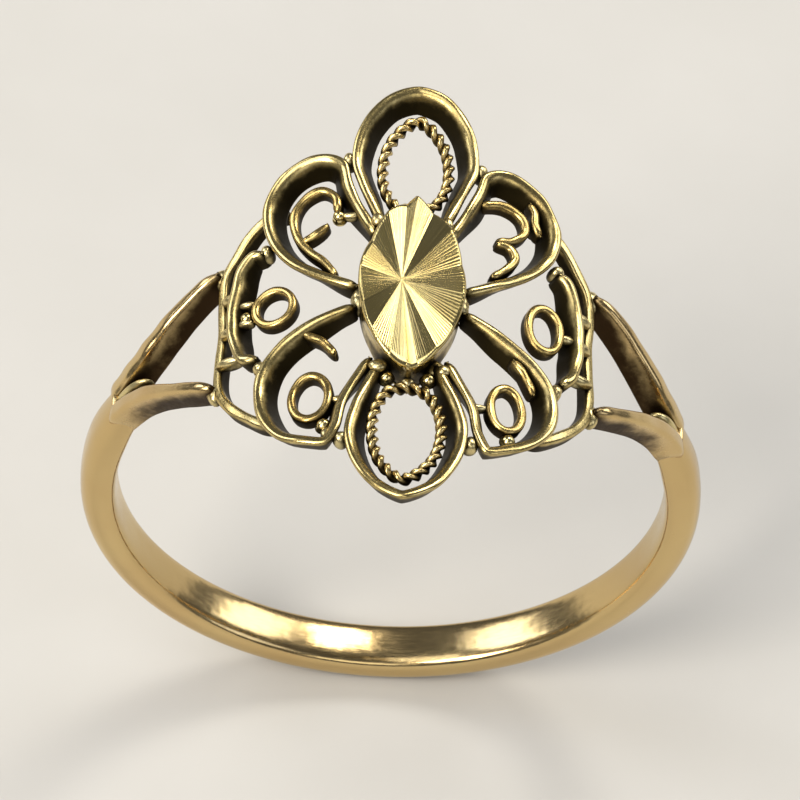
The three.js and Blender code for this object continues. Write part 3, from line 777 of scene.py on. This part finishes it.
# The plate's colour is drawn darker on its underside than on its facets and bevel.
clean_above_dark_below = add_node(tree, "ShaderNodeMapRange", {"interpolation_type": "SMOOTHSTEP"}, {
    "Value": rubbed_and_lit, "From Max": 0.5})
colour = add_node(tree, "ShaderNodeMixRGB", {}, {
    "Fac": clean_above_dark_below.outputs["Result"], "Color1": to_linear(CUT_DULL), "Color2": alloy.outputs["Color"]})
roughness = add_node(tree, "ShaderNodeMapRange", {}, {
    "Value": tool_marks.outputs["Fac"], "From Min": 0.3, "From Max": 0.7, "To Min": 0.14, "To Max": 0.26})
lines = add_node(tree, "ShaderNodeBump", {}, {
    "Height": tool_marks.outputs["Fac"], "Strength": 0.5, "Distance": TOOL_MARK_DEPTH * MM})
metal = add_node(tree, "ShaderNodeBsdfPrincipled", {}, {
    "Base Color": colour.outputs["Color"], "Metallic": 1.0,
    "Roughness": roughness.outputs["Result"], "Normal": lines.outputs["Normal"]})
add_node(tree, "ShaderNodeOutputMaterial", {}, {"Surface": metal.outputs["BSDF"]})

plate_floor, plate_top = (corner.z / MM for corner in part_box("centre_plate"))
directions = 2 * np.pi * np.arange(PLATE_STEPS) / PLATE_STEPS
in_groove = np.mod((directions - math.pi / 2 + RIDGE_TURN) / (2 * np.pi) * GROOVES, 1)
from_ridge = 1 - np.abs(2 * in_groove - 1)
blunt = np.sign(np.cos(directions)) * np.abs(np.cos(directions)) ** PLATE_BLUNTNESS
rim_points = np.stack([PLATE_HALF_WIDTH * blunt, PLATE_HALF_LENGTH * np.sin(directions)], axis=1)
rim_points *= (1 - SCALLOP / PLATE_HALF_WIDTH * from_ridge ** 2)[:, None]
rim_height = plate_top - GROOVE_DEPTH * from_ridge
rim_height = rim_height - TOOL_LINE_DEPTH * (1 + np.sin(TOOL_LINES * directions))
apex = np.array([-APEX_SHIFT, 0.0])
apex_height = plate_top - GROOVE_DEPTH / 2
rings, rubbed_and_lit = [], []
for share in np.linspace(0.01, 1 - RIM_BEVEL / PLATE_HALF_WIDTH, FACET_ROUNDS):
    flat = apex + share * (rim_points - apex)
    height = apex_height + share * (rim_height - apex_height)
    rings.append(np.column_stack([flat, height]))
    rubbed_and_lit.append(np.ones(PLATE_STEPS))
for drop in (0.15, 0.4, 0.75, 1.0):
    quarter = drop * math.pi / 2
    flat = rim_points * (1 - RIM_BEVEL / PLATE_HALF_WIDTH * (1 - math.sin(quarter)))
    rings.append(np.column_stack([flat, rim_height - BEVEL_DROP * RIM_BEVEL * (1 - math.cos(quarter))]))
    rubbed_and_lit.append(np.full(PLATE_STEPS, 1 - 0.4 * drop))
# Below the bevel the edge rounds under and closes on the plate's flat floor.
for inset, low in ((0.0, 0.06), (0.03, 0.02), (0.08, 0.0), (0.6, 0.0), (1.3, 0.0)):
    flat = rim_points * (1 - inset / PLATE_HALF_WIDTH)
    rings.append(np.column_stack([flat, np.full(PLATE_STEPS, plate_floor + low)]))
    rubbed_and_lit.append(np.full(PLATE_STEPS, 0.3))
faces = face_outward(rings, skin(rings, closed=False))
add_piece("bright_cut_plate", rings, faces, rubbed_and_lit, cut_finish, ["centre_plate"])

# Solder. Small fillets of a paler gold solder, run with the torch into the joints: where the arms meet
# the rails and the band, where the rails carry the petals, where the spokes meet the collet, and where
# wires and neighbouring petals touch. Each joint is its place across, along and from the bore's axis, and
# its three half sizes.

SOLDER_CLEAN = "#e8dca8"
SOLDER_WARM = "#cdb272"
SOLDER_TURNS = 24
SOLDER_LEVELS = 14
SOLDER_LUMPS = 0.14
FORK_SOLDER_SETBACK = 0.62

# Solder that has flowed gives small, blurred highlights, a little paler than the gold on either side. Its
# scratches are drawn about three times coarser than they are.
solder_finish = worn_gold(
    "gold_solder_flowed", SOLDER_CLEAN, SOLDER_WARM, PETAL_DULL, patch=0.3, scratch=0.03,
    stretch=(1.0, 1.0, 1.0), smooth=0.24, rough=0.5, bare=0.3)

petal_floor, petal_top = radial_span("petal_back")
arm_floor, arm_top = radial_span("arm_back_left")
rail_floor, rail_top = radial_span("rail_left")
wire_middle = sum(radial_span("ring_left")) / 2
fork_s = arm_start - FORK_SOLDER_SETBACK
solder_joints = {
    "solder_fork": [
        (sign * fork_s, 0.0, (arm_floor + arm_top) / 2 - 0.03, 0.95, 0.2, 0.4) for sign in (-1, 1)
    ],
    "solder_arm_ends": [
        (sign * (RAIL_REACH + 0.2), y, (rail_floor + rail_top) / 2, 0.32, 0.34, 0.26)
        for sign in (-1, 1) for y in (ARM_SPREAD["back"], -ARM_SPREAD["front"])
    ],
    "solder_spokes": [
        (sign * 1.5, y, petal_floor + 0.28, 0.26, 0.32, 0.32) for sign in (-1, 1) for y in (0.1, -0.1)
    ] + [
        (sign * 0.82, way * 2.42, petal_floor + 0.26, 0.3, 0.36, 0.3) for sign in (-1, 1) for way in (-1, 1)
    ],
    "solder_filigree": [
        (-1.84, 3.0, wire_middle, 0.3, 0.13, 0.16),
        (-4.98, 0.36, wire_middle, 0.3, 0.12, 0.16),
        (-4.96, -0.3, wire_middle, 0.3, 0.14, 0.18),
        (4.9, -0.22, wire_middle, 0.26, 0.16, 0.18),
        (-2.26, -4.84, wire_middle, 0.14, 0.26, 0.18),
        (-1.95, -3.6, wire_middle, 0.26, 0.14, 0.16),
        (2.05, -3.6, wire_middle, 0.3, 0.14, 0.16),
    ],
    "solder_rails": [
        *((-5.7, y, (rail_top + petal_floor) / 2, 0.5, 0.17, 0.24) for y in (1.1, -0.1, -1.2)),
        *((5.66, y, (rail_top + petal_floor) / 2, 0.52, 0.17, 0.24) for y in (1.1, 0.1, -1.1)),
        (-4.1, 3.86, (rail_top + petal_floor) / 2, 0.17, 0.17, 0.2),
        (4.1, 3.84, (rail_top + petal_floor) / 2, 0.17, 0.17, 0.2),
        (-4.08, -3.78, (rail_top + petal_floor) / 2, 0.17, 0.17, 0.2),
        (4.08, -3.76, (rail_top + petal_floor) / 2, 0.17, 0.17, 0.2),
    ],
    "solder_rope_feet": [
        (0, way * 3.0, wire_middle - 0.04, 0.2, 0.18, 0.2) for way in (-1, 1)
    ],
    "solder_petal_feet": [
        (-1.02, 2.66, petal_top - 0.04, 0.2, 0.22, 0.15),
        (1.02, 2.66, petal_top - 0.08, 0.17, 0.2, 0.13),
        (-0.86, -2.6, petal_top - 0.04, 0.24, 0.22, 0.16),
        (1.0, -2.6, petal_top - 0.08, 0.17, 0.2, 0.13),
    ],
    "solder_petal_seams": [
        (-1.95, 5.0, petal_floor + 0.3, 0.22, 0.26, 0.3),
        (1.97, 4.86, petal_floor + 0.3, 0.22, 0.26, 0.3),
        (-1.84, -5.0, petal_floor + 0.3, 0.22, 0.26, 0.3),
        (1.84, -4.95, petal_floor + 0.3, 0.22, 0.26, 0.3),
        (-4.42, 2.15, petal_floor + 0.28, 0.22, 0.24, 0.3),
        (4.55, 2.1, petal_floor + 0.28, 0.22, 0.24, 0.3),
        (-4.42, -2.02, petal_floor + 0.28, 0.22, 0.24, 0.3),
        (4.55, -2.2, petal_floor + 0.28, 0.22, 0.24, 0.3),
    ],
}
for name, joints in solder_joints.items():
    draws = np.random.default_rng(zlib.crc32(name.encode()))
    points, faces, rubbed_and_lit = [], [], []
    turns = 2 * np.pi * np.arange(SOLDER_TURNS) / SOLDER_TURNS
    for s, y, centre, half_s, half_y, half_up in joints:
        lumps = draws.uniform(-SOLDER_LUMPS, SOLDER_LUMPS, 4)
        rings = []
        for level in range(SOLDER_LEVELS):
            fall = math.pi * (level + 0.5) / SOLDER_LEVELS
            uneven = 1 + lumps[0] * np.cos(2 * turns + lumps[1])
            uneven = uneven + lumps[2] * np.sin(3 * turns) * math.sin(fall)
            reach = math.sin(fall) ** 0.8 * uneven
            up = centre + half_up * math.cos(fall)
            rings.append(on_head(s + half_s * reach * np.cos(turns), y + half_y * reach * np.sin(turns),
                                 up + 0 * turns))
            # Wear and painted light: each fillet is drawn brighter on top and darker towards its foot.
            rubbed_and_lit.append(np.full(SOLDER_TURNS, (1 + math.cos(fall)) / 2))
        joint_faces = face_outward(rings, skin(rings, closed=False))
        first = sum(len(block) for block in points)
        points.append(np.concatenate(rings))
        faces += [tuple(first + k for k in face) for face in joint_faces]
    add_piece(name, np.concatenate(points), faces, np.concatenate(rubbed_and_lit), solder_finish)

# Floor. A sheet of pale matt card, much wider than the ring, which stands upright on it.

FLOOR_SIZE = 2.0
FLOOR_COLOUR = "#cbc9c4"
FLOOR_SHADE = "#c3c1bb"
FLOOR_MOTTLE = 6.0

# Matt card gives no highlight, only soft shadows and a faint mottle, drawn much coarser than its fibres.
card = bpy.data.materials.new("pale_matt_card")
card.use_nodes = True
tree = card.node_tree
tree.nodes.clear()
place = add_node(tree, "ShaderNodeTexCoord", {}, {}).outputs["Object"]
pulp = add_node(tree, "ShaderNodeTexNoise", {}, {
    "Vector": place, "Scale": per_metre(FLOOR_MOTTLE), "Detail": 6.0})
colour = add_node(tree, "ShaderNodeMixRGB", {}, {
    "Fac": pulp.outputs["Fac"], "Color1": to_linear(FLOOR_COLOUR), "Color2": to_linear(FLOOR_SHADE)})
paper = add_node(tree, "ShaderNodeBsdfPrincipled", {}, {
    "Base Color": colour.outputs["Color"], "Roughness": 0.85})
add_node(tree, "ShaderNodeOutputMaterial", {}, {"Surface": paper.outputs["BSDF"]})

floor_mesh = bpy.data.meshes.new("floor")
half_floor = FLOOR_SIZE / 2
floor_height = cad_box[0].z
floor_signs = ((-1, -1), (1, -1), (1, 1), (-1, 1))
floor_corners = [(x * half_floor, y * half_floor, floor_height) for x, y in floor_signs]
floor_mesh.from_pydata(floor_corners, [], [(0, 1, 2, 3)])
floor_mesh.materials.append(card)
floor = bpy.data.objects.new("floor", floor_mesh)
bpy.context.scene.collection.objects.link(floor)

# Light. A dim even room, a large soft key in front on the left, a soft box behind on the right that the
# cut facets catch, weak ones behind and overhead for the rubbed top edges, and a weak fill.

ROOM_COLOUR = "#b9bcc2"
ROOM_STRENGTH = 0.22
SOFT_BOXES = {
    # name: azimuth clockwise from +Y, elevation (degrees), distance and side (m), watts, colour
    "key": (-128, 46, 0.42, 0.2, 1.5, "#fff8ee"),
    "facet_light": (22, 47, 0.4, 0.12, 0.55, "#fffaf0"),
    "back_right": (52, 27, 0.45, 0.2, 0.45, "#fbfcff"),
    "back_left": (-58, 30, 0.45, 0.2, 0.5, "#f6f8ff"),
    "overhead": (-90, 72, 0.45, 0.24, 0.5, "#ffffff"),
    "fill": (120, 30, 0.6, 0.3, 0.4, "#eef2ff"),
    "front_soft": (172, 36, 0.5, 0.24, 0.24, "#fffdf8"),
}

world = bpy.data.worlds.new("room")
world.use_nodes = True
background = world.node_tree.nodes["Background"]
background.inputs["Color"].default_value = to_linear(ROOM_COLOUR)
background.inputs["Strength"].default_value = ROOM_STRENGTH
bpy.context.scene.world = world
bpy.context.scene.view_settings.view_transform = "Standard"

head_centre = Vector((0, 0, HEAD_RADIUS * MM))
for name, (azimuth, elevation, distance, side, watts, colour) in SOFT_BOXES.items():
    lamp = bpy.data.lights.new(name, "AREA")
    lamp.shape = "SQUARE"
    lamp.size = side
    lamp.energy = watts
    lamp.color = to_linear(colour)[:3]
    turn, rise = math.radians(azimuth), math.radians(elevation)
    away = Vector((math.sin(turn) * math.cos(rise), math.cos(turn) * math.cos(rise), math.sin(rise)))
    box = bpy.data.objects.new(name, lamp)
    box.location = head_centre + distance * away
    box.rotation_euler = away.to_track_quat("Z", "Y").to_euler()
    bpy.context.scene.collection.objects.link(box)

# Camera. It looks down on the head from in front at 52 degrees, turned and tipped by a hair, from 125 mm.

CAMERA_DISTANCE = 0.125
CAMERA_ELEVATION = math.radians(52)
CAMERA_YAW = math.radians(-1.565)
CAMERA_ROLL = math.radians(3.652)
CAMERA_LENS = 198
AIM = Vector((0, 0, 0.0047))

level_back = Vector((0, -math.cos(CAMERA_ELEVATION), math.sin(CAMERA_ELEVATION)))
level_up = Vector((0, math.sin(CAMERA_ELEVATION), math.cos(CAMERA_ELEVATION)))
lean = Matrix.Rotation(CAMERA_YAW, 3, "Z") @ Matrix.Rotation(CAMERA_ROLL, 3, "Y")
eye = head_centre + lean.transposed() @ (CAMERA_DISTANCE * level_back)
back = (eye - AIM).normalized()
right = (lean.transposed() @ level_up).cross(back).normalized()
up = back.cross(right)
lens = bpy.data.cameras.new("camera")
lens.lens = CAMERA_LENS
lens.clip_start = 0.001
camera = bpy.data.objects.new("camera", lens)
camera.matrix_world = Matrix.Translation(eye) @ Matrix((right, up, back)).transposed().to_4x4()
bpy.context.scene.collection.objects.link(camera)
bpy.context.scene.camera = camera
